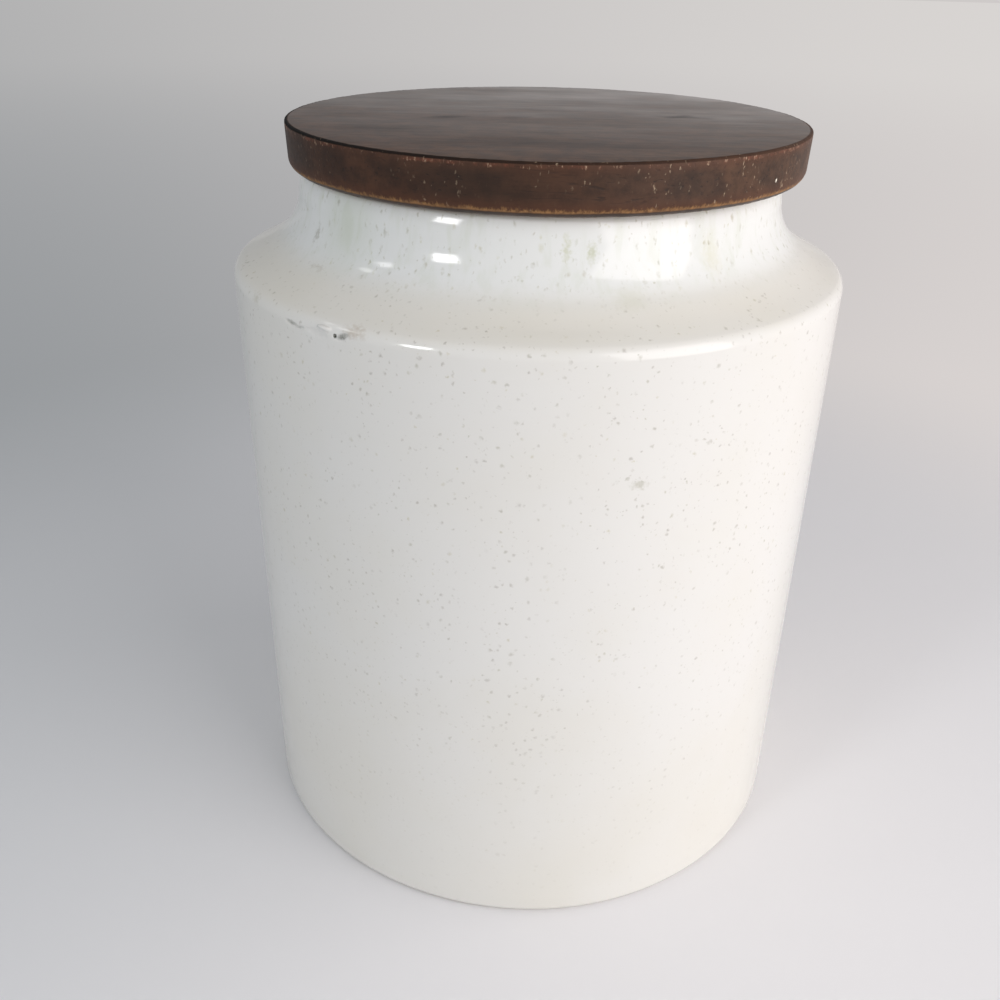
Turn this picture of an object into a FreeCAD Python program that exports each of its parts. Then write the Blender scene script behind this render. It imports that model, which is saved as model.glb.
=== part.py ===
"""Lidded kitchen canister: a thrown stoneware jar under a loose turned wooden lid.

Millimetres, +Z up. The origin is the centre of the foot, on the surface that the jar stands on.
-Y is the front. The jar is one hollow revolve, nicked at its shoulder. The lid is a board disc
with a turned spigot under it that drops into the mouth with play all round.
"""
import FreeCAD, Part
import math
import os

# Driving dimensions: jar
TOTAL_HEIGHT = 220.0
BODY_RADIUS = 89.0
WALL = 6.5                      # thrown stoneware with its glaze
FLOOR = 7.5                     # thickness above the foot's recess
FOOT_EDGE_ROUND = 2.6           # outer edge of the foot
FOOT_RING_WIDTH = 7.0           # bare ring that touches the table
FOOT_RECESS = 1.6               # depth of the glazed recess inside that ring
SHOULDER_EDGE_HEIGHT = 181.3    # where wall and shoulder slope would meet sharp
SHOULDER_EDGE_ROUND = 3.7
NECK_RADIUS = 69.3
NECK_FOOT_HEIGHT = 192.3        # where shoulder slope and neck would meet sharp
NECK_COVE = 14.8                # hollow sweep from the shoulder slope up into the neck
LIP_FOOT_HEIGHT = 203.6         # where the neck starts to lean in to the lip
LIP_LEAN = 1.3                  # how far in it has leaned at the rim
LIP_ROUND = 11.5                # soft turn from the neck into that lean
RIM_OUTER_ROUND = 2.4
RIM_INNER_ROUND = 2.8           # with the outer one it leaves a narrow flat for the lid to rest on
INNER_CORNER_ROUND = 14.0       # between the inner floor and the wall

# Driving dimensions: lid
LID_THICKNESS = 12.7            # half-inch board
LID_TOP_RADIUS = 73.3
LID_TAPER = 0.5                 # the side leans in by this much towards the bottom
LID_TOP_ARRIS = 0.7
LID_BOTTOM_ROUND = 3.0
SPIGOT_DEPTH = 9.0              # how far the turned step reaches into the mouth
SPIGOT_PLAY = 2.6               # all round, between spigot and mouth
SPIGOT_EDGE_CHAMFER = 1.5
SPIGOT_RELIEF = 1.0             # quirk cut where spigot meets board, so the board seats flat
LID_SHIFT = 1.6                 # the loose lid sits this far to +X, within its play

# Knocks in the shoulder's edge: angle in degrees from the front towards -X, length along the edge, depth
SHOULDER_NICKS = [
    (42.3, 8.8, 0.8),
    (30.6, 4.4, 0.9),
]

RIM_HEIGHT = TOTAL_HEIGHT - LID_THICKNESS
MOUTH_RADIUS = NECK_RADIUS - WALL


def unit(a, b):
    """Unit vector in the profile's plane from a to b."""
    length = math.hypot(b[0] - a[0], b[1] - a[1])
    return ((b[0] - a[0]) / length, (b[1] - a[1]) / length)


def rounded_profile(corners):
    """Closed wire in the XZ plane through (radius, height, round) corners, each rounded by an arc."""
    count = len(corners)
    spans = []
    for i in range(count):
        before = corners[i - 1]
        here = corners[i]
        after = corners[(i + 1) % count]
        back = unit(here, before)
        ahead = unit(here, after)
        if here[2] <= 0.0:
            spans.append((here[:2], None, here[:2]))
            continue
        half_turn = 0.5 * math.acos(max(-1.0, min(1.0, back[0] * ahead[0] + back[1] * ahead[1])))
        run = here[2] / math.tan(half_turn)
        start = (here[0] + back[0] * run, here[1] + back[1] * run)
        end = (here[0] + ahead[0] * run, here[1] + ahead[1] * run)
        middle = unit((0.0, 0.0), (back[0] + ahead[0], back[1] + ahead[1]))
        reach = here[2] / math.sin(half_turn) - here[2]
        crown = (here[0] + middle[0] * reach, here[1] + middle[1] * reach)
        spans.append((start, crown, end))
    edges = []
    for i in range(count):
        start, crown, end = spans[i]
        if crown is not None:
            edges.append(Part.Arc(point(start), point(crown), point(end)).toShape())
        following = spans[(i + 1) % count][0]
        if math.hypot(following[0] - end[0], following[1] - end[1]) > 1e-7:
            edges.append(Part.makeLine(point(end), point(following)))
    return Part.Wire(edges)


def point(place):
    """Profile point (radius, height) as a 3-D vector."""
    return FreeCAD.Vector(place[0], 0.0, place[1])


def turned(corners):
    """Solid turned about +Z from a rounded profile."""
    face = Part.Face(rounded_profile(corners))
    return face.revolve(FreeCAD.Vector(0, 0, 0), FreeCAD.Vector(0, 0, 1), 360.0)


def inset_shoulder():
    """Inner shoulder corners: the outer wall, slope and neck moved inwards by the wall's thickness."""
    run = BODY_RADIUS - NECK_RADIUS
    rise = NECK_FOOT_HEIGHT - SHOULDER_EDGE_HEIGHT
    lean = math.atan2(rise, run)
    drop = WALL * math.tan(0.5 * (math.pi / 2.0 - lean))
    low = (BODY_RADIUS - WALL, SHOULDER_EDGE_HEIGHT - drop)
    high = (NECK_RADIUS - WALL, NECK_FOOT_HEIGHT - drop)
    return low, high


def jar_profile():
    """Corners of the jar's half section, from the foot's centre out, up, over the rim and back inside."""
    ring_inner = BODY_RADIUS - FOOT_EDGE_ROUND - FOOT_RING_WIDTH
    inner_low, inner_high = inset_shoulder()
    inside_floor = FOOT_RECESS + FLOOR
    return [
        (0.0, FOOT_RECESS, 0.0),
        (ring_inner - FOOT_RECESS, FOOT_RECESS, 1.0),
        (ring_inner, 0.0, 0.5),
        (BODY_RADIUS, 0.0, FOOT_EDGE_ROUND),
        (BODY_RADIUS, SHOULDER_EDGE_HEIGHT, SHOULDER_EDGE_ROUND),
        (NECK_RADIUS, NECK_FOOT_HEIGHT, NECK_COVE),
        (NECK_RADIUS, LIP_FOOT_HEIGHT, LIP_ROUND),
        (NECK_RADIUS - LIP_LEAN, RIM_HEIGHT, RIM_OUTER_ROUND),
        (MOUTH_RADIUS, RIM_HEIGHT, RIM_INNER_ROUND),
        (inner_high[0], inner_high[1], NECK_COVE + 0.5 * WALL),
        (inner_low[0], inner_low[1], SHOULDER_EDGE_ROUND + WALL),
        (BODY_RADIUS - WALL, inside_floor, INNER_CORNER_ROUND),
        (0.0, inside_floor, 0.0),
    ]


def nick(angle, length, depth):
    """Ball that scoops a shallow knock out of the rounded shoulder edge when it is cut from the jar.

    Its radius is the one that gives the wanted length at that depth on an edge that itself curves round
    the jar at the body's radius.
    """
    ball = 1.0 / (8.0 * depth / length ** 2 - 1.0 / BODY_RADIUS)
    lean = math.atan2(NECK_FOOT_HEIGHT - SHOULDER_EDGE_HEIGHT, BODY_RADIUS - NECK_RADIUS)
    facing = 0.5 * (math.pi / 2.0 - lean)
    inward = SHOULDER_EDGE_ROUND / math.cos(facing)
    edge_radius = BODY_RADIUS - inward * math.cos(facing) + SHOULDER_EDGE_ROUND * math.cos(facing)
    edge_height = SHOULDER_EDGE_HEIGHT - inward * math.sin(facing) + SHOULDER_EDGE_ROUND * math.sin(facing)
    out = ball - depth
    centre = FreeCAD.Vector(edge_radius + out * math.cos(facing), 0.0, edge_height + out * math.sin(facing))
    turn = FreeCAD.Rotation(FreeCAD.Vector(0, 0, 1), -90.0 - angle)
    return Part.makeSphere(ball, turn.multVec(centre))


def jar():
    """Hollow glazed jar with a cylindrical wall, a sloping shoulder and a short neck."""
    body = turned(jar_profile())
    for angle, length, depth in SHOULDER_NICKS:
        body = body.cut(nick(angle, length, depth))
    return body


def lid():
    """Board disc with an eased top arris, a rounded lower edge and a relieved spigot underneath."""
    spigot_radius = MOUTH_RADIUS - SPIGOT_PLAY
    spigot_low = RIM_HEIGHT - SPIGOT_DEPTH
    corners = [
        (0.0, spigot_low, 0.0),
        (spigot_radius - SPIGOT_EDGE_CHAMFER, spigot_low, 0.0),
        (spigot_radius, spigot_low + SPIGOT_EDGE_CHAMFER, 0.0),
        (spigot_radius, RIM_HEIGHT - SPIGOT_RELIEF, 0.0),
        (spigot_radius - SPIGOT_RELIEF, RIM_HEIGHT, 0.3),
        (LID_TOP_RADIUS - LID_TAPER, RIM_HEIGHT, LID_BOTTOM_ROUND),
        (LID_TOP_RADIUS, TOTAL_HEIGHT, LID_TOP_ARRIS),
        (0.0, TOTAL_HEIGHT, 0.0),
    ]
    disc = turned(corners)
    disc.translate(FreeCAD.Vector(LID_SHIFT, 0, 0))
    return disc


def main():
    """Write one STEP file per piece and print what each holds."""
    os.makedirs("parts", exist_ok=True)
    pieces = {"canister": jar(), "lid": lid()}
    for name, shape in pieces.items():
        box = shape.optimalBoundingBox()
        print(name, "valid", shape.isValid(), "volume cm3", round(shape.Volume / 1000.0, 1))
        print("  low", [round(v, 2) for v in (box.XMin, box.YMin, box.ZMin)])
        print("  high", [round(v, 2) for v in (box.XMax, box.YMax, box.ZMax)])
        shape.exportStep("parts/" + name + ".step")


main()
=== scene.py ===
# %% [markdown]
# # A lidded kitchen canister
#
# This lesson finishes a stoneware canister with a wooden lid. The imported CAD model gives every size
# and place. Here the two pieces get the things that a CAD solid doesn't carry: the slight unevenness
# of fired clay, the knocks in its shoulder, a speckled glaze, and stained wood that has worn along
# its edges.

import math
from collections import namedtuple

import bmesh
import bpy
from mathutils import Matrix, Vector, noise


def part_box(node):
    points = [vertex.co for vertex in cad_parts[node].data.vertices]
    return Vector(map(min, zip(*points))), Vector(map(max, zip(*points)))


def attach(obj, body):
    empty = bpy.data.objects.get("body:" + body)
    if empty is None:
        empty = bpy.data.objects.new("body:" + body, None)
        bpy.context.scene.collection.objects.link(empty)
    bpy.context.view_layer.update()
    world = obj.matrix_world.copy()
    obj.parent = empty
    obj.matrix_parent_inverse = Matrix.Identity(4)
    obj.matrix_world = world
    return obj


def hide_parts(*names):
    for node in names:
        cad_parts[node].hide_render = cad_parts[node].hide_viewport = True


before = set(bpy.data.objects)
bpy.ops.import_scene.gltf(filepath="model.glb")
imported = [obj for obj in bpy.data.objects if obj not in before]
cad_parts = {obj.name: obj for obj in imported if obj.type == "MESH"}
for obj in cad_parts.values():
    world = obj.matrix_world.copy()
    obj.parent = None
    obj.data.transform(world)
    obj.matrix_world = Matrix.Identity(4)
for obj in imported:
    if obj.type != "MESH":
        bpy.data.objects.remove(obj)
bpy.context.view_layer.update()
MM = 0.001

# %% [markdown]
# ## Sizes
#
# The outer sizes are read from the CAD nodes, so this file can't drift away from them. The rest are
# the jar maker's own numbers: how thick the wall is, how round each edge is, how deep the foot's
# recess is. Most are the ones that the solids were turned with. The last three are not. The neck and
# the lip lean in a little more here than in the solid, and the slope is slightly dished, because
# the glaze's reflections fell in better places that way.

# %% Sizes from the frame
jar_low, jar_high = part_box("canister")
lid_low, lid_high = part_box("lid")
height = lid_high.z
jar_radius = jar_high.y
rim = jar_high.z
lid_radius = lid_high.y
lid_centre = Vector((0.5 * (lid_low.x + lid_high.x), 0, 0))
print("jar radius", round(jar_radius / MM, 1), "rim at", round(rim / MM, 1), "mm")
print("lid radius", round(lid_radius / MM, 1), "set over by", round(lid_centre.x / MM, 1), "mm")

# %% Sizes of the maker's own
WALL = 6.5 * MM
FLOOR = 7.5 * MM
FOOT_ROUND = 2.6 * MM
FOOT_RING = 7.0 * MM
FOOT_RECESS = 1.6 * MM
NECK_RADIUS = 69.3 * MM
SHOULDER_HEIGHT = 181.3 * MM
SHOULDER_ROUND = 3.7 * MM
NECK_FOOT = 192.3 * MM
NECK_COVE = 14.8 * MM
RIM_OUTER_ROUND = 2.4 * MM
RIM_INNER_ROUND = 2.8 * MM
LIP_BELOW_RIM = 4.0 * MM
LIP_ROUND = 13 * MM
NECK_LEAN = 0.2 * MM
LIP_LEAN = 1.9 * MM
DISHED = 0.5 * MM
slope = math.atan2(NECK_FOOT - SHOULDER_HEIGHT, jar_radius - NECK_RADIUS)
edge_facing = 0.5 * (math.pi / 2 - slope)
print("shoulder slopes at", round(math.degrees(slope), 1), "degrees")

# %% [markdown]
# ## The camera
#
# A camera in Blender looks along its own -Z. It is easiest to aim with three turns: swing it left
# or right, tip it down, and roll it a little. Its place is a multiple of the canister's height,
# because a near camera is what makes the straight wall seem to narrow towards the foot.

# %% Camera
CAMERA_BACK = 1.3922 * height
CAMERA_UP = 1.1822 * height
SWING, TIP, ROLL = math.radians(-1.819), math.radians(28.1275), math.radians(1.043)
LENS_MM = 36.72

camera = bpy.data.objects.new("camera", bpy.data.cameras.new("camera"))
camera.data.lens = LENS_MM
turn = Matrix.Rotation(-SWING, 4, "Z") @ Matrix.Rotation(math.pi / 2 - TIP, 4, "X")
turn = turn @ Matrix.Rotation(ROLL, 4, "Z")
camera.matrix_world = Matrix.Translation((0, -CAMERA_BACK, CAMERA_UP)) @ turn
bpy.context.scene.collection.objects.link(camera)
bpy.context.scene.camera = camera
bpy.context.scene.view_settings.view_transform = "Standard"
print("camera at", [round(v, 3) for v in camera.matrix_world.translation])

# %% [markdown]
# ## Writing materials as sums
#
# A material is a graph of nodes, and shader maths node by node is hard to read. One small class
# wraps a socket and teaches Python's operators to add the Math nodes, so a mask can be written as
# `1 - wear * 0.5`. Everything else goes through one method, `node`.

# %% A socket that does arithmetic
def paint(red, green, blue):
    """A colour as it looks on a screen, 0 to 255, turned into the linear light that shaders use."""
    def linear(level):
        level = level / 255
        return level / 12.92 if level <= 0.04045 else ((level + 0.055) / 1.055) ** 2.4
    return (linear(red), linear(green), linear(blue), 1)


class Wire:
    """One output socket. Sums with it add Math nodes."""

    def __init__(self, finish, socket):
        self.finish = finish
        self.socket = socket

    def maths(self, operation, first, second):
        return self.finish.node("Math", {"operation": operation}, {0: first, 1: second})

    def __add__(self, other):
        return self.maths("ADD", self, other)

    def __sub__(self, other):
        return self.maths("SUBTRACT", self, other)

    def __rsub__(self, other):
        return self.maths("SUBTRACT", other, self)

    def __mul__(self, other):
        return self.maths("MULTIPLY", self, other)

    def __lt__(self, other):
        return self.maths("LESS_THAN", self, other)

    __radd__ = __add__
    __rmul__ = __mul__

    def either(self, other):
        """The larger of two masks."""
        return self.maths("MAXIMUM", self, other)

    def step(self, start, end):
        """0 before start, 1 after end, smooth between them. start may be the larger."""
        settings = {"interpolation_type": "SMOOTHSTEP"}
        return self.finish.node("MapRange", settings, {0: self, 1: start, 2: end, 3: 0.0, 4: 1.0})


class Finish:
    """A material or a world being written, with the coordinates that its patterns are read at."""

    def __init__(self, owner, coordinates="Object"):
        owner.use_nodes = True
        self.owner = owner
        self.tree = owner.node_tree
        self.shader = self.tree.nodes.get("Principled BSDF")
        self.place = self.node("TexCoord", out=coordinates)

    def node(self, kind, settings=None, sockets=None, out=0):
        """Add a node, set its settings, then give its sockets values or links. Returns one output."""
        made = self.tree.nodes.new("ShaderNode" + kind)
        for name, value in (settings or {}).items():
            if name == "stops":
                self.fill_ramp(made.color_ramp, value)
            else:
                setattr(made, name, value)
        for name, value in (sockets or {}).items():
            if isinstance(value, Wire):
                self.tree.links.new(value.socket, made.inputs[name])
            else:
                made.inputs[name].default_value = value
        return Wire(self, made.outputs[out])

    def fill_ramp(self, ramp, stops):
        """Give a colour ramp its (position, colour) stops."""
        for extra in stops[2:]:
            ramp.elements.new(extra[0])
        for element, (position, colour) in zip(ramp.elements, stops):
            element.position = position
            element.color = colour

    def out(self, wire, name):
        """Another output of the node that a wire comes from."""
        return Wire(self, wire.socket.node.outputs[name])

    def vector(self, operation, first, second, out=0):
        return self.node("VectorMath", {"operation": operation}, {0: first, 1: second}, out)

    def blend(self, factor, below, above, how="MIX"):
        """Mix two colours by a factor."""
        settings = {"data_type": "RGBA", "blend_type": how}
        return self.node("Mix", settings, {0: factor, 6: below, 7: above}, 2)

    def cloud(self, scale, detail=3.0, roughness=0.55, place=None, warp=0.0):
        """Soft noise from 0 to 1. scale is in waves per metre."""
        sockets = {"Vector": place or self.place, "Scale": scale, "Detail": detail,
                   "Roughness": roughness, "Distortion": warp}
        return self.node("TexNoise", None, sockets, "Fac")

    def stretch(self, amounts, place=None, shift=(0, 0, 0)):
        """Coordinates multiplied along each axis, so a pattern on them gets shorter that way."""
        sockets = {"Vector": place or self.place, "Scale": amounts, "Location": shift}
        return self.node("Mapping", None, sockets)

    def near(self, spot, reach, place=None):
        """1 at a spot on the object, fading to 0 at reach metres from it."""
        away = self.vector("DISTANCE", place or self.place, spot, "Value")
        return away.step(reach, 0.0)

    def shifts(self, scale, detail, most):
        """Random little moves as a vector, up to half of most each way. They blur a pattern's edges."""
        sockets = {"Vector": self.place, "Scale": scale, "Detail": detail}
        centred = self.vector("SUBTRACT", self.node("TexNoise", None, sockets, "Color"), (0.5, 0.5, 0.5))
        return self.vector("MULTIPLY", centred, most)

    def feed(self, **links):
        """Link wires to the shader's own sockets, or set their values."""
        for name, value in links.items():
            socket = self.shader.inputs[name.replace("_", " ")]
            if isinstance(value, Wire):
                self.tree.links.new(value.socket, socket)
            else:
                socket.default_value = value


print("white reads", [round(v, 2) for v in paint(255, 255, 255)])

# %% [markdown]
# ## Turned shapes
#
# Both pieces are round, so both start as a half outline in the XZ plane that is spun about Z. The
# outline is a few corners joined by edges. Each corner is rounded with a bevel of its vertex. A
# bevel's offset is the distance from the corner to where the arc begins, which isn't the arc's
# radius, so it is worked out from the corner's own angle.

# %% An outline with rounded corners
Corner = namedtuple("Corner", "radius height round segments", defaults=(0, 0))


def soften(bm, vert, radius, segments):
    """Round one corner of a wire with an arc of that radius."""
    first, second = [edge.other_vert(vert).co - vert.co for edge in vert.link_edges]
    offset = radius / math.tan(0.5 * first.angle(second))
    bmesh.ops.bevel(bm, geom=[vert], offset=offset, offset_type="OFFSET", segments=segments,
                    profile=0.5, affect="VERTICES", material=-1, clamp_overlap=False)


def outline(corners, spacing):
    """A wire through the corners, rounded, then cut where a run is longer than its spacing."""
    bm = bmesh.new()
    points = [bm.verts.new((corner.radius, 0, corner.height)) for corner in corners]
    for pair in zip(points, points[1:]):
        bm.edges.new(pair)
    for corner, point in zip(corners, points):
        if corner.segments:
            soften(bm, point, corner.round, corner.segments)
    for run in bm.edges[:]:
        middle = 0.5 * (run.verts[0].co + run.verts[1].co)
        cuts = int(run.calc_length() / spacing(middle.x, middle.z))
        if cuts:
            bmesh.ops.subdivide_edges(bm, edges=[run], cuts=cuts)
    return bm


# %% Spin it into a solid
def spin_solid(bm, start, steps, first_steps=0):
    """Turn a wire about Z. One twelfth is spun, then it is copied round, which is much quicker than
    a spin of the whole. first_steps cuts the twelfth that begins at start more finely."""
    about = {"cent": (0, 0, 0), "axis": (0, 0, 1), "dvec": (0, 0, 0), "use_merge": False}
    spin_from = Matrix.Rotation(math.radians(start), 3, "Z")
    bmesh.ops.rotate(bm, verts=bm.verts, cent=(0, 0, 0), matrix=spin_from)
    sector = math.radians(30)
    copies = 11
    wire = bm.verts[:] + bm.edges[:]
    if first_steps:
        made = bmesh.ops.spin(bm, geom=wire, angle=sector, steps=first_steps, use_duplicate=False,
                              **about)
        wire = made["geom_last"]
        copies = 10
    kept = len(bm.faces)
    bmesh.ops.spin(bm, geom=wire, angle=sector, steps=steps, use_duplicate=False, **about)
    bm.faces.ensure_lookup_table()
    twelfth = bm.faces[kept:]
    bmesh.ops.spin(bm, geom=twelfth, angle=copies * sector, steps=copies, use_duplicate=True, **about)
    bmesh.ops.remove_doubles(bm, verts=bm.verts, dist=0.005 * MM)
    bmesh.ops.recalc_face_normals(bm, faces=bm.faces)


def finish_piece(bm, name, material):
    """Write a bmesh to a new smooth-shaded object with one material."""
    open_edges = sum(not edge.is_manifold for edge in bm.edges)
    print(name, len(bm.faces), "faces,", open_edges, "open edges,",
          round(bm.calc_volume() * 1e6), "cubic centimetres")
    mesh = bpy.data.meshes.new(name)
    bm.to_mesh(mesh)
    bm.free()
    mesh.polygons.foreach_set("use_smooth", [True] * len(mesh.polygons))
    mesh.materials.append(material)
    piece = bpy.data.objects.new(name, mesh)
    bpy.context.scene.collection.objects.link(piece)
    return piece


# %% [markdown]
# ## The glaze
#
# The jar wears an off-white gloss glaze with iron specks in it. The specks bleed to brown, tan and
# olive, and where the glaze ran while it was molten, on the neck and the shoulder, they are drawn
# out downwards. A Voronoi pattern gives each cell one dot and three random numbers: whether the dot
# is there, how large it is and what colour it has. Reading the pattern in three dimensions cuts
# some dots off-centre, so their sizes vary as real ones do.

# %% Specks
def specks(finish, place, scale, size, share, core=0.0):
    """Scattered dots. scale is cells per metre, size the largest radius in cells, share how many
    cells hold a dot, core the part of the radius that is solid. Returns the mask and one random
    number for each dot's colour."""
    distance = finish.node("TexVoronoi", None, {"Vector": place, "Scale": scale}, "Distance")
    lots = finish.out(distance, "Color")
    there = finish.node("SeparateColor", None, {"Color": lots}, "Red")
    girth = finish.out(there, "Green")
    reach = (girth * 0.65 + 0.35) * size
    return distance.step(reach, reach * core) * (there < share), finish.out(there, "Blue")


# %% Colours and stains of the glaze
GLAZE = paint(226, 225, 222)
GLAZE_WARM = paint(222, 219, 210)
# Cool glaze of the neck, made lighter as painted light.
GLAZE_COOL_AND_LIT = paint(229, 232, 232)
SPECKS = [(0.0, paint(118, 108, 96)), (0.4, paint(136, 126, 106)), (0.7, paint(132, 130, 106)),
          (1.0, paint(176, 166, 116))]
BLED_SPECKS = [(0.0, paint(140, 136, 112)), (0.4, paint(150, 150, 108)), (0.7, paint(146, 134, 104)),
               (1.0, paint(178, 176, 122))]
VEIL = paint(198, 204, 184)
BARE_CLAY = paint(206, 190, 166)
KNOCK_DIRT = paint(84, 86, 76)
Stain = namedtuple("Stain", "spot reach stretch colour strength")
STAINS = [
    Stain((-57.2, -41.2, 194.8), 2.8, (1.5, 1.5, 0.6), paint(136, 130, 112), 0.48),
    Stain((-55.4, -50.6, 189.0), 3.4, (0.8, 0.8, 3.5), paint(150, 134, 106), 0.20),
    Stain((-42.4, -77.4, 181.0), 4.8, (1, 1, 2.2), paint(170, 152, 128), 0.45),
    Stain((-72.0, -51.0, 180.4), 3.0, (1, 1, 1.6), paint(160, 152, 120), 0.30),
    Stain((-48.0, -51.5, 201.0), 15.0, (1, 1, 0.8), paint(190, 200, 178), 0.30),
    Stain((43.0, -56.0, 196.5), 6.0, (1.3, 1.3, 0.6), paint(206, 202, 164), 0.30),
    Stain((7.1, -69.1, 200.0), 2.6, (1.6, 1.6, 0.5), paint(180, 184, 140), 0.45),
    Stain((12.9, -68.2, 199.0), 2.2, (1.2, 1.2, 0.6), paint(174, 178, 134), 0.50),
    Stain((22.3, -71.5, 189.0), 6.5, (1, 1, 1.4), paint(194, 194, 166), 0.25),
    Stain((26.9, -84.8, 147.1), 2.4, (0.7, 1, 1.3), paint(168, 166, 148), 0.50),
]


print(len(STAINS), "stains")

# %% [markdown]
# The ground colour comes first. It is a little warmer on the shoulder's slope and towards the foot,
# and cooler and lighter on the neck, partly because the glaze is thick there and thin streaks of it
# ran, and partly as painted light that brightens it. Height alone says which part of the jar a
# point is on, so the masks are steps of Z.

# %% The glaze's ground
glaze = Finish(bpy.data.materials.new("speckled glaze"))
z = glaze.node("SeparateXYZ", None, {"Vector": glaze.place}, "Z")
slope_band = z.step(SHOULDER_HEIGHT - 1 * MM, SHOULDER_HEIGHT + 2 * MM)
slope_band = slope_band * z.step(NECK_FOOT + 1 * MM, NECK_FOOT - 5 * MM)
foot_glow = z.step(95 * MM, 0.0)
tone = glaze.cloud(22, detail=3.0).step(0.35, 0.7) * 0.35 + slope_band * 0.65 + foot_glow * 0.4
colour = glaze.blend(tone, GLAZE, GLAZE_WARM)

upper = z.step(SHOULDER_HEIGHT + 4 * MM, SHOULDER_HEIGHT + 12 * MM)
# The neck is cooler and, as painted light, lighter.
colour = glaze.blend(upper * 0.7, colour, GLAZE_COOL_AND_LIT)
runs = glaze.cloud(260, detail=3.0, place=glaze.stretch((1, 1, 0.16)), warp=0.4)
colour = glaze.blend(runs.step(0.46, 0.75) * upper * 0.26, colour, VEIL)
print("ground made with", len(glaze.tree.nodes), "nodes")

# %% [markdown]
# The specks lie in layers, and in each set the coarser ones are laid over the finer. The body's are round, the neck's are drawn
# out downwards and bled. A slow noise crowds them in some places, and they thin out to the foot.

# %% The glaze's specks
SpeckLayer = namedtuple("SpeckLayer", "scale size share strength")
BODY_LAYERS = [SpeckLayer(750, 0.36, 0.45, 0.28), SpeckLayer(430, 0.34, 0.80, 0.47),
               SpeckLayer(260, 0.26, 0.55, 0.42)]
NECK_LAYERS = [SpeckLayer(800, 0.40, 0.70, 0.36), SpeckLayer(430, 0.36, 0.95, 0.50),
               SpeckLayer(250, 0.28, 0.60, 0.34)]
wander = glaze.shifts(1100.0, 1.0, (0.0011, 0.0011, 0.0011))
place = glaze.vector("ADD", glaze.place, wander)
drawn = glaze.stretch((1, 1, 0.50), place)
crowd = glaze.cloud(70, detail=2.0).step(0.34, 0.60)
faint = z.step(-30 * MM, 130 * MM)
body = 1 - upper

marks = 0.0
for where, region, inks, layers in ((place, body, SPECKS, BODY_LAYERS),
                                    (drawn, upper, BLED_SPECKS, NECK_LAYERS)):
    for layer in layers:
        mask, hue = specks(glaze, where, layer.scale, layer.size, layer.share)
        mask = mask * region * (crowd * 0.65 + 0.35) * faint
        ink = glaze.node("ValToRGB", {"stops": inks}, {"Fac": hue}, "Color")
        colour = glaze.blend(mask * layer.strength, colour, ink)
        marks = mask + marks
print(len(BODY_LAYERS) + len(NECK_LAYERS), "layers of specks")

# %% [markdown]
# A few marks are larger than specks. Each stain is a soft spot whose edge is roughened by the same
# little shifts, only wider. In the knocks the glaze is gone and dirt has settled, and the ring that
# the jar stands on was wiped bare before the firing.

# %% Stains, knocks and the bare foot
blurred = glaze.vector("ADD", glaze.place, glaze.vector("MULTIPLY", wander, (3, 3, 3)))
for stain in STAINS:
    spot = [axis * MM * scale for axis, scale in zip(stain.spot, stain.stretch)]
    mask = glaze.near(spot, stain.reach * MM, glaze.stretch(stain.stretch, blurred))
    colour = glaze.blend(mask * stain.strength, colour, stain.colour)

bare = glaze.node("Attribute", {"attribute_name": "bare"}, None, "Fac")
dirt = bare.step(0.10, 0.75)
grit = glaze.cloud(1700, detail=2.0).step(0.35, 0.6)
colour = glaze.blend(dirt * (grit * 0.35 + 0.65), colour, KNOCK_DIRT)
ring = z.step(0.5 * MM, 0.2 * MM)
colour = glaze.blend(ring, colour, BARE_CLAY)

rough = marks * 0.10 + dirt * 0.45 + 0.10
skin = glaze.cloud(190, detail=2.0) * 0.30 + glaze.cloud(45, detail=1.0) - marks * 0.06
bump = glaze.node("Bump", None, {"Strength": 0.12, "Distance": 0.4 * MM, "Height": skin}, "Normal")
glaze.feed(Base_Color=colour, Roughness=rough.either(ring * 0.8), Normal=bump, IOR=1.5)
print("glaze has", len(glaze.tree.nodes), "nodes")

# %% [markdown]
# ## The jar
#
# One closed outline runs from the middle of the foot, out and up the wall, over the rim and down
# the inside. Most of the jar is turned in steps of one degree. The sector that holds the knocks in
# the shoulder is turned four times as finely, and the runs beside the shoulder's edge are cut
# finely too, so those small shapes have enough vertices to be real ones.

# %% Turn the jar
ring_inner = jar_radius - FOOT_ROUND - FOOT_RING
inside_floor = FOOT_RECESS + FLOOR
inner_drop = WALL * math.tan(edge_facing)
near_edge = 8 * MM
SLOPE_ROUND = 40 * MM
slope_middle = SHOULDER_HEIGHT + near_edge * math.tan(slope) - DISHED
jar_corners = [
    Corner(0, FOOT_RECESS),
    Corner(ring_inner - FOOT_RECESS, FOOT_RECESS, 1.0 * MM, 3),
    Corner(ring_inner, 0, 0.5 * MM, 3),
    Corner(jar_radius, 0, FOOT_ROUND, 10),
    Corner(jar_radius, SHOULDER_HEIGHT - near_edge),
    Corner(jar_radius, SHOULDER_HEIGHT, SHOULDER_ROUND, 18),
    Corner(jar_radius - near_edge, slope_middle, SLOPE_ROUND, 6),
    Corner(NECK_RADIUS + NECK_LEAN, NECK_FOOT + 0.6 * MM, NECK_COVE, 26),
    Corner(NECK_RADIUS - NECK_LEAN, rim - LIP_BELOW_RIM, LIP_ROUND, 9),
    Corner(NECK_RADIUS - LIP_LEAN, rim, RIM_OUTER_ROUND, 8),
    Corner(NECK_RADIUS - WALL, rim, RIM_INNER_ROUND, 8),
    Corner(NECK_RADIUS - WALL, NECK_FOOT - inner_drop, NECK_COVE + 0.5 * WALL, 10),
    Corner(jar_radius - WALL, SHOULDER_HEIGHT - inner_drop, SHOULDER_ROUND + WALL, 8),
    Corner(jar_radius - WALL, inside_floor, 14 * MM, 8),
    Corner(0, inside_floor),
]


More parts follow.
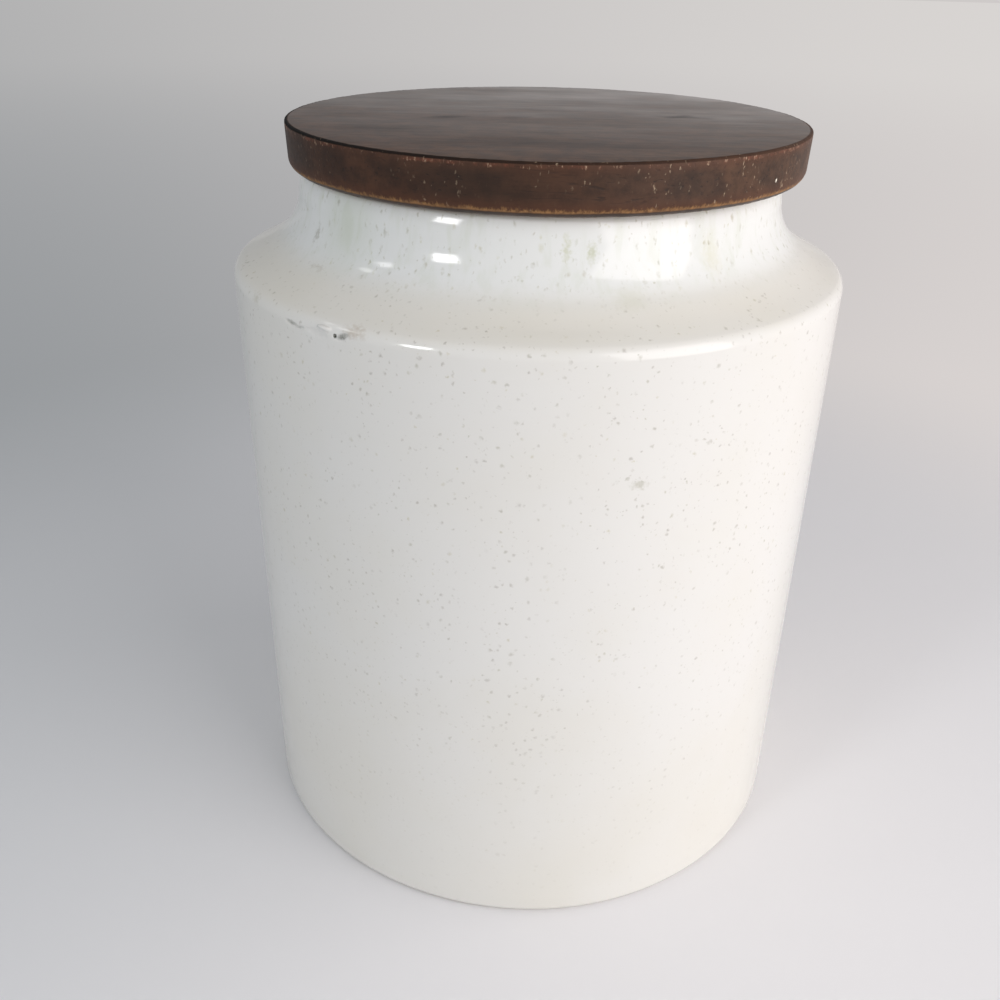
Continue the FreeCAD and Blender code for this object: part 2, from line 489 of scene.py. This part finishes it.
def jar_spacing(radius, level):
    """How long a run of the jar's outline may stay, by where it is."""
    inside = radius < jar_radius - 0.9 * WALL
    beside_edge = level > SHOULDER_HEIGHT - near_edge and level < SHOULDER_HEIGHT + 5 * MM
    if radius > ring_inner and beside_edge:
        return 0.45 * MM
    return 30 * MM if inside and level < SHOULDER_HEIGHT - 2 * near_edge else 5 * MM


KNOCK_SECTOR = 53  # degrees from the front towards -X, where the finely turned twelfth begins
jar_mesh = outline(jar_corners, jar_spacing)
spin_solid(jar_mesh, -90 - KNOCK_SECTOR, steps=30, first_steps=120)
print("jar", len(jar_mesh.faces), "faces")

# %% [markdown]
# ## Fired clay isn't perfect
#
# A glazed jar shows every departure from round in its reflections. A slow noise moves the surface
# inwards by up to a fifth of a millimetre, never out past the true size. Then come the knocks in the
# shoulder's edge: shallow dents, a small pit, and one place that stands proud. Each is an ellipse
# laid along the edge, with a ragged rim. Where a knock took the glaze off, its vertices are marked,
# and the material reads that mark.

# %% Unevenness and knocks
Knock = namedtuple("Knock", "angle half_length lift half_height depth bare tilt")
KNOCKS = [
    Knock(42.6, 2.5 * MM, -1.8 * MM, 0.55 * MM, 0.50 * MM, 0.46, 0.10),
    Knock(40.5, 2.4 * MM, -2.1 * MM, 0.40 * MM, 0.45 * MM, 0.40, -0.10),
    Knock(34.7, 2.3 * MM, -0.5 * MM, 0.65 * MM, -1.00 * MM, 0.0, 0.05),
    Knock(36.6, 3.8 * MM, -2.0 * MM, 0.80 * MM, 0.45 * MM, 0.0, 0.05),
    Knock(32.4, 0.50 * MM, -1.6 * MM, 0.45 * MM, 0.90 * MM, 2.4, 0.0),
    Knock(30.9, 2.1 * MM, -1.4 * MM, 1.00 * MM, 0.40 * MM, 0.55, -0.2),
]
KNOCK_BAND = 4 * MM
KNOCK_DEPTH = 3 * MM
RAGGED_GRAIN = 0.9 * MM
out_r, out_z = math.cos(edge_facing), math.sin(edge_facing)
edge_radius = jar_radius - SHOULDER_ROUND + SHOULDER_ROUND * out_r
edge_height = SHOULDER_HEIGHT - SHOULDER_ROUND * out_z / out_r + SHOULDER_ROUND * out_z


def uneven(bm, amount, reach):
    """Move the surface towards the axis by a soft noise, by up to that amount."""
    for vert in bm.verts:
        radius = vert.co.xy.length
        if radius > WALL:
            inwards = amount * (0.5 + 0.5 * noise.noise(vert.co / reach))
            vert.co.xy *= 1 - inwards / radius


def knock_edge(bm):
    """Press the knocks into the shoulder's edge and mark the vertices that lost their glaze."""
    bare = bm.verts.layers.float.new("bare")
    touched = 0
    for vert in bm.verts:
        radius = vert.co.xy.length
        in_r, in_z = radius - edge_radius, vert.co.z - edge_height
        across = in_z * out_r - in_r * out_z
        if abs(across) > KNOCK_BAND or in_r * out_r + in_z * out_z < -KNOCK_DEPTH:
            continue
        angle = math.degrees(math.atan2(-vert.co.x, -vert.co.y))
        ragged = 1 + 0.55 * noise.noise(vert.co / RAGGED_GRAIN)
        for knock in KNOCKS:
            along = math.radians(angle - knock.angle) * edge_radius
            upwards = across - knock.lift - knock.tilt * along
            reach = (along / knock.half_length) ** 2 + (upwards / knock.half_height) ** 2
            if reach < ragged:
                share = (1 - reach / ragged) ** 0.6
                deep = knock.depth * share
                vert.co.xy *= 1 - deep * out_r / radius
                vert.co.z -= deep * out_z
                vert[bare] = max(vert[bare], knock.bare * share)
                touched += 1
    print(touched, "vertices moved by knocks")


uneven(jar_mesh, 0.22 * MM, 45 * MM)
knock_edge(jar_mesh)
jar = finish_piece(jar_mesh, "glazed_jar", glaze.owner)
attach(jar, "root")
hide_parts("canister")

# %% [markdown]
# ## The wood
#
# The lid is one board with its grain running from left to right, stained nearly black-brown and
# rubbed back to a satin. Noise that is stretched along X makes the grain. Use has worn the stain
# off in three places: a thin line just under the top arris, a broader ragged one round the lower
# edge where hands lift it, and short upright scratches on the side. The nearly black line along
# the arris is painted shade, where its rounding stops mirroring the room. Each is a mask made from
# height and distance from the lid's centre, broken up by noise.

# %% Colours and marks of the wood
# The dark stain of the grain, also used as painted shade on the left of the side.
DARK_STAIN_AND_SHADE = paint(42, 27, 19)
STAIN = paint(74, 51, 36)
# Red stain of the blotches, also used as painted light in the band under the arris.
RED_STAIN_AND_GLOW = paint(86, 52, 34)
# Painted light for the lit right part of the side.
STAIN_LIT_SIDE = paint(100, 70, 50)
# Stain colour of the top, made lighter as painted sheen for the room that the satin mirrors.
TOP_STAIN_AND_SHEEN = paint(98, 68, 42)
BURNT = paint(26, 18, 15)
# Painted shade for the dark line along the top arris.
ARRIS_PAINTED_SHADE = paint(9, 6, 5)
RUBBED = paint(124, 68, 48)
RAW_WOOD = paint(158, 118, 76)
SCRATCH = paint(186, 164, 138)
PAINT_FLECK = paint(240, 232, 216)
Fleck = namedtuple("Fleck", "azimuth level length strength")
FLECKS = [Fleck(50.8, 212.0, 1.6, 1.0), Fleck(-1.9, 214.2, 1.3, 0.7), Fleck(7.6, 215.2, 1.0, 0.7),
          Fleck(19.6, 214.0, 2.0, 0.6), Fleck(22.0, 212.4, 1.4, 0.8), Fleck(26.8, 213.2, 1.8, 0.6),
          Fleck(-14.5, 211.6, 0.9, 0.7), Fleck(13.2, 211.4, 0.8, 0.6)]
Smear = namedtuple("Smear", "spot reach stretch strength")
SMEARS = [
    Smear((41, 4), 12, (1, 2.4, 1), 0.90),
    Smear((-26, -7), 9, (1, 2.2, 1), 0.85),
    Smear((-6, -5), 6, (1, 1.5, 1), 0.50),
    Smear((-42, -30), 14, (0.6, 1.6, 1), 0.50),
    Smear((5, -48), 20, (0.4, 2, 1), 0.45),
]
print(len(FLECKS), "flecks and", len(SMEARS), "smears")

# %% [markdown]
# Three masks say where on the lid a point is: its side, its top, and how far right it lies. The
# grain is four noises on coordinates pressed together along X: bands, fibres, pores and blotches.
# Over the grain the side is painted darker at the left and lighter at the right, and the top is
# painted lighter, as painted shade and painted sheen for where the light falls.

# %% The wood's grain, with painted shade and light on the side and top
wood = Finish(bpy.data.materials.new("stained wood"))
x = wood.node("SeparateXYZ", None, {"Vector": wood.place}, "X")
y = wood.out(x, "Y")
z = wood.out(x, "Z")
from_centre = wood.vector("SUBTRACT", wood.place, lid_centre)
flat = wood.vector("MULTIPLY", from_centre, (1, 1, 0))
radius = wood.vector("LENGTH", flat, (0, 0, 0), "Value")
side = radius.step(lid_radius - 1.2 * MM, lid_radius - 0.8 * MM)
top = z.step(height - 0.8 * MM, height - 0.2 * MM)

along = wood.stretch((0.09, 1, 1))
bands = wood.cloud(60, detail=3.0, place=along, warp=0.8)
fibres = wood.cloud(520, detail=4.0, roughness=0.65, place=along)
pores = wood.cloud(1300, detail=1.0, place=along).step(0.60, 0.74)
blotches = wood.cloud(34, detail=4.0, roughness=0.6).step(0.35, 0.7)
small = wood.cloud(210, detail=4.0, roughness=0.7).step(0.36, 0.66)
rightwards = x.step(-70 * MM, 72 * MM)
colour = wood.blend(bands.step(0.35, 0.65), DARK_STAIN_AND_SHADE, STAIN)
# Painted shade: the side is darker towards the left, away from the light.
colour = wood.blend((1 - rightwards) * side * 0.45, colour, DARK_STAIN_AND_SHADE)
# Painted light: the side is lighter towards the right, where the window falls.
colour = wood.blend(rightwards * side * 0.35, colour, STAIN_LIT_SIDE)
# Painted sheen: the top is lighter where it mirrors the room.
colour = wood.blend(top * 0.45, colour, TOP_STAIN_AND_SHEEN)
colour = wood.blend(blotches * 0.40, colour, RED_STAIN_AND_GLOW)
colour = wood.blend(small * 0.65, colour, DARK_STAIN_AND_SHADE)
colour = wood.blend(fibres.step(0.45, 0.75) * 0.45, colour, DARK_STAIN_AND_SHADE)
colour = wood.blend(pores * 0.5, colour, BURNT)

# %% [markdown]
# Stain lay thicker in a few places on the top and dried nearly black. Each smear is a long soft
# spot, read at shifted coordinates so that its outline wanders.

# %% Dark smears on the top
smeared = wood.vector("ADD", wood.place, wood.shifts(70.0, 3.0, (0.014, 0.014, 0)))
burnt = 0.0
for smear in SMEARS:
    spot = (smear.spot[0] * MM * smear.stretch[0], smear.spot[1] * MM * smear.stretch[1], height)
    dark = wood.near(spot, smear.reach * MM, wood.stretch(smear.stretch, smeared))
    burnt = dark * smear.strength + burnt
burnt = burnt * top
colour = wood.blend(burnt, colour, BURNT)

# %% [markdown]
# The edges come next. One ragged noise roughens them all, and a slower one breaks the worn lines
# into pieces. The painted shade along the arris is laid last, so that nothing warms it.

# %% Worn edges, with painted light and shade along them
ragged = wood.cloud(1100, detail=3.0, roughness=0.7, place=wood.stretch((1, 1, 0.5))) - 0.5
breaks = wood.cloud(85, detail=3.0, roughness=0.7)
# turn is a painted dark line at the top of the arris: shade where its rounding stops mirroring the room.
turn = (z + ragged * (0.4 * MM)).step(height - 0.75 * MM, height - 0.45 * MM)
turn = turn * radius.step(lid_radius - 1.3 * MM, lid_radius - 0.7 * MM)
turn = turn * (1 - rightwards * 0.6)
arris = (z + ragged * (1.2 * MM)).step(height - 1.6 * MM, height - 1.1 * MM)
arris = arris * z.step(height - 0.4 * MM, height - 0.8 * MM) * side
arris = arris * (breaks + ragged * 0.6).step(0.45, 0.66)
# A warm band under the arris: partly worn stain, and partly painted light that is stronger towards the
# right, where the window falls.
glow = z.step(height - 3.6 * MM, height - 0.8 * MM) * side * (rightwards * 0.35 + 0.2)
colour = wood.blend(glow, colour, RED_STAIN_AND_GLOW)
colour = wood.blend(arris * 0.45, colour, RUBBED)
colour = wood.blend(arris * ragged.step(0.05, 0.2) * 0.7, colour, SCRATCH)
# Painted shade along the arris.
colour = wood.blend(turn, colour, ARRIS_PAINTED_SHADE)

warmth = z.step(rim + 5.5 * MM, rim + 1.5 * MM) * side * 0.6
colour = wood.blend(warmth, colour, RED_STAIN_AND_GLOW)
lower = (z + ragged * (3.2 * MM)).step(rim + 2.5 * MM, rim + 1.1 * MM)
lower = lower * (breaks + ragged * 0.5).step(0.18, 0.45) * side
colour = wood.blend(lower * 0.9, colour, RAW_WOOD)
under = z.step(rim + 0.5 * MM, rim - 0.2 * MM)
colour = wood.blend(under * 0.7, colour, RAW_WOOD)

# %% [markdown]
# The scratches on the side are specks drawn out upwards, in clusters. A few longer flecks have
# places of their own. Their coordinates are pressed together along Z, so their spots are too. The
# brightest one holds a chip of pale paint.

# %% Scratches and flecks
FLECK_PRESS = 0.30


def fleck_spot(fleck):
    """Where a fleck is on the lid's side, in the pressed coordinates."""
    angle = math.radians(fleck.azimuth)
    return (lid_centre.x + lid_radius * math.sin(angle), -lid_radius * math.cos(angle),
            FLECK_PRESS * fleck.level * MM)


shifted = wood.vector("ADD", wood.place, wood.shifts(900.0, 2.0, (0.0012, 0.0012, 0.0012)))
upright = wood.stretch((1, 1, FLECK_PRESS), shifted)
cluster = wood.cloud(60, detail=2.0).step(0.44, 0.60) * (rightwards * 0.8 + 0.3)
dots, _ = specks(wood, wood.stretch((1, 1, 0.45), shifted), 1100, 0.34, 0.55, 0.3)
hairs, _ = specks(wood, wood.stretch((1, 1, 0.2), shifted), 760, 0.20, 0.70, 0.3)
scratches = (dots * 0.60 + hairs * 0.65) * (cluster * 0.97 + 0.03) * side
for fleck in FLECKS:
    mask = wood.near(fleck_spot(fleck), FLECK_PRESS * fleck.length * MM, upright).step(0.1, 0.6)
    scratches = scratches.either(mask * (ragged + 1.0) * fleck.strength)
colour = wood.blend(scratches, colour, SCRATCH)
bright = wood.near(fleck_spot(FLECKS[0]), 0.5 * MM, upright)
colour = wood.blend(bright.step(0.1, 0.4), colour, PAINT_FLECK)

# %% [markdown]
# The satin of the lid is a thin clear coat over the stain. It is strongest towards the back of the
# top, where the lid mirrors the room, and wear and the smears dull it.

# %% Polish and relief
worn = wood.cloud(30, detail=4.0, roughness=0.6, place=wood.stretch((0.5, 1, 1))).step(0.34, 0.66)
back = y.step(-75 * MM, 60 * MM)
lean = x.step(-110 * MM, 90 * MM) * 0.6 + 0.65
streaks = wood.cloud(120, detail=3.0, place=wood.stretch((0.12, 1, 1))).step(0.34, 0.66)
polish = (back * 0.94 + 0.06) * (worn * 0.50 + 0.66) * (streaks * 0.20 + 0.90) * lean * (1 - burnt * 0.8)
rough = fibres * 0.16 + lower * 0.2 + scratches * 0.15 + turn * 0.5 + side * 0.1 + 0.42
relief = fibres * 0.5 + bands * 0.4 - pores * 0.5 - scratches * 0.5 + small * 0.3
bump = wood.node("Bump", None, {"Strength": 0.3, "Distance": 0.25 * MM, "Height": relief}, "Normal")
wood.feed(Base_Color=colour, Roughness=rough, Normal=bump, Specular_IOR_Level=0.3,
            Coat_Weight=polish * (1 - turn) * (1 - side * 0.8), Coat_Roughness=0.30, Coat_IOR=1.6)
print("wood has", len(wood.tree.nodes), "nodes")

# %% [markdown]
# ## The lid
#
# The lid is turned like the jar, then moved to where it sits, a little to one side. Its two outer
# edges are rubbed down unevenly, which shows as a wavering outline against the pale glaze.

# %% Turn the lid
SPIGOT_PLAY = 2.6 * MM
LID_TAPER = 0.5 * MM
LID_ARRIS = 0.7 * MM
LID_LOWER_ROUND = 3.0 * MM
SPIGOT_CHAMFER = 1.5 * MM
SPIGOT_RELIEF = 1.0 * MM
spigot = NECK_RADIUS - WALL - SPIGOT_PLAY
lid_corners = [
    Corner(0, lid_low.z),
    Corner(spigot - SPIGOT_CHAMFER, lid_low.z),
    Corner(spigot, lid_low.z + SPIGOT_CHAMFER),
    Corner(spigot, rim - SPIGOT_RELIEF),
    Corner(spigot - SPIGOT_RELIEF, rim),
    Corner(lid_radius - LID_TAPER, rim, LID_LOWER_ROUND, 8),
    Corner(lid_radius, height, LID_ARRIS, 7),
    Corner(0, height),
]


def lid_spacing(radius, level):
    """Fine cuts on the lid's side, coarse ones elsewhere."""
    return 1.0 * MM if radius > lid_radius - 2 * MM else 7 * MM


def rub_edges(bm):
    """Wear the upper and lower edges of the lid's side by an uneven amount."""
    for vert in bm.verts:
        radius = vert.co.xy.length
        if radius < lid_radius - 4 * MM:
            continue
        upper = max(0, 1 - (height - vert.co.z) / (1.6 * MM))
        lower = max(0, 1 - (vert.co.z - rim) / (2.8 * MM))
        coarse = max(0, 0.5 + noise.noise(vert.co / (9 * MM)))
        fine = max(0, 0.4 + noise.noise(vert.co / (1.4 * MM)))
        worn = (0.10 * coarse + 0.10 * fine) * MM
        vert.co.xy *= 1 - worn * (upper + lower) / radius
        vert.co.z += 0.5 * worn * (lower - upper)


lid_mesh = outline(lid_corners, lid_spacing)
spin_solid(lid_mesh, 0, steps=60)
uneven(lid_mesh, 0.12 * MM, 30 * MM)
rub_edges(lid_mesh)
bmesh.ops.translate(lid_mesh, verts=lid_mesh.verts, vec=lid_centre)
lid = finish_piece(lid_mesh, "wooden_lid", wood.owner)
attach(lid, "root")
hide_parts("lid")

# %% [markdown]
# ## The floor and the light
#
# The canister stands on a large pale sheet. A tall window to the right is the main light. It is an
# area lamp, so its shadow is soft, and the glaze mirrors it as a broad bright patch. A small window
# at the left makes the crisp little highlight, and two more, further left and higher, the faint
# ones beside it. Light that bounces off the room's walls comes from two lamps that reflections
# don't see. The sky fills in the shaded side. What the camera and the reflections see behind the
# floor is set apart from that fill, through Light Path.

# %% Floor
WALL_LEFT = paint(150, 153, 156)
WALL_RIGHT = paint(219, 213, 211)
WALL_FAR = paint(222, 219, 216)
# Painted shade: the sheet near the jar is darker at the left and brighter at the right.
SHEET_SHADED_LEFT = paint(216, 218, 221)
SHEET_LIT_RIGHT = paint(235, 234, 236)
SHEET_RADIUS = 9
floor_mesh = bmesh.new()
bmesh.ops.create_circle(floor_mesh, cap_ends=True, segments=96, radius=SHEET_RADIUS)
floor_data = bpy.data.meshes.new("floor")
floor_mesh.to_mesh(floor_data)
floor_mesh.free()
floor = bpy.data.objects.new("floor", floor_data)
bpy.context.scene.collection.objects.link(floor)
print("the sheet is", 2 * SHEET_RADIUS, "metres across")

# %% [markdown]
# Near the jar the sheet is a matt surface that takes the shadow, and its colour is darker towards
# the left as painted shade. Further out it turns into the room's own glow, dim at the left and
# bright at the right, so no edge shows.

# %% The sheet's material
sheet = Finish(bpy.data.materials.new("pale sheet"))
outwards = sheet.vector("NORMALIZE", sheet.place, (0, 0, 0))
sideways = sheet.node("SeparateXYZ", None, {"Vector": outwards}, "X")
reach = sheet.vector("LENGTH", sheet.place, (0, 0, 0), "Value")
glow = sheet.blend(sideways.step(-0.9, 0.9), WALL_LEFT, WALL_RIGHT)
far_off = reach.step(0.5, 3.0) * (sideways.step(-0.9, 0.9) * 0.55 + 0.15)
glow = sheet.blend(far_off, glow, WALL_FAR)
across = sheet.node("SeparateXYZ", None, {"Vector": sheet.place}, "X")
# Painted shade, darker towards the left of the sheet.
tone = sheet.blend(across.step(-0.28, 0.05), SHEET_SHADED_LEFT, SHEET_LIT_RIGHT)
sheet.feed(Base_Color=tone, Roughness=0.5, Specular_IOR_Level=0.1)
far = sheet.node("Emission", None, {"Color": glow, "Strength": 1.0})
matt = Wire(sheet, sheet.shader.outputs[0])
both = sheet.node("MixShader", None, {0: reach.step(0.22, 0.5), 1: matt, 2: far})
sheet.tree.links.new(both.socket, sheet.tree.nodes["Material Output"].inputs["Surface"])
floor_data.materials.append(sheet.owner)
print("sheet has", len(sheet.tree.nodes), "nodes")


# %% Lamps and sky
def area_lamp(name, azimuth, elevation, distance, size, watts, colour, aim=(0, 0, 0.11)):
    """A rectangular lamp. azimuth is degrees from the front towards +X, as seen from the aim."""
    side, up = math.radians(azimuth), math.radians(elevation)
    away = Vector((math.sin(side) * math.cos(up), -math.cos(side) * math.cos(up), math.sin(up)))
    data = bpy.data.lights.new(name, "AREA")
    data.shape = "RECTANGLE"
    data.size, data.size_y = size
    data.energy = watts
    data.color = colour
    lamp = bpy.data.objects.new(name, data)
    lamp.location = Vector(aim) + away * distance
    lamp.rotation_euler = away.to_track_quat("Z", "Y").to_euler()
    lamp.visible_camera = False
    bpy.context.scene.collection.objects.link(lamp)
    return lamp


neck = (0, 0, 0.2)
WHITE = (1, 1, 1)
area_lamp("window", azimuth=49.3, elevation=15.5, distance=0.92, size=(0.695, 0.92), watts=5.8,
          colour=(1, 0.955, 0.935), aim=neck)
area_lamp("small window", azimuth=-40, elevation=21, distance=0.8, size=(0.15, 0.15), watts=1.1,
          colour=WHITE, aim=neck)
for name, azimuth, elevation, watts, colour in (("right wall", 90, 14, 4.4, (1, 0.94, 0.92)),
                                                ("left wall", -45, 5, 0.6, (0.5, 0.8, 1))):
    lamp = area_lamp(name, azimuth, elevation, 1.3, (0.8, 0.7), watts, colour)
    lamp.visible_glossy = False
for azimuth, elevation, width, watts in ((-75, 32, 0.13, 0.19), (-90, 37, 0.08, 0.08)):
    area_lamp("far window", azimuth, elevation, 1.0, (width, 0.08), watts, WHITE, neck)

# %% Sky
sky = Finish(bpy.data.worlds.new("sky"), "Generated")
bpy.context.scene.world = sky.owner
facing = sky.node("SeparateXYZ", None, {"Vector": sky.place}, "X")
wall = sky.blend(facing.step(-0.9, 0.9), WALL_LEFT, WALL_RIGHT)
seen = sky.node("Background", None, {"Color": wall, "Strength": 1.0})
fill = sky.node("Background", None, {"Color": (0.97, 0.98, 1, 1), "Strength": 0.43})
ray = sky.node("LightPath", None, None, "Is Camera Ray")
direct = ray.either(sky.out(ray, "Is Glossy Ray")).either(sky.out(ray, "Is Transmission Ray"))
light = sky.node("MixShader", None, {0: direct, 1: fill, 2: seen})
sky.tree.links.new(light.socket, sky.tree.nodes["World Output"].inputs["Surface"])
print("sky has", len(sky.tree.nodes), "nodes")
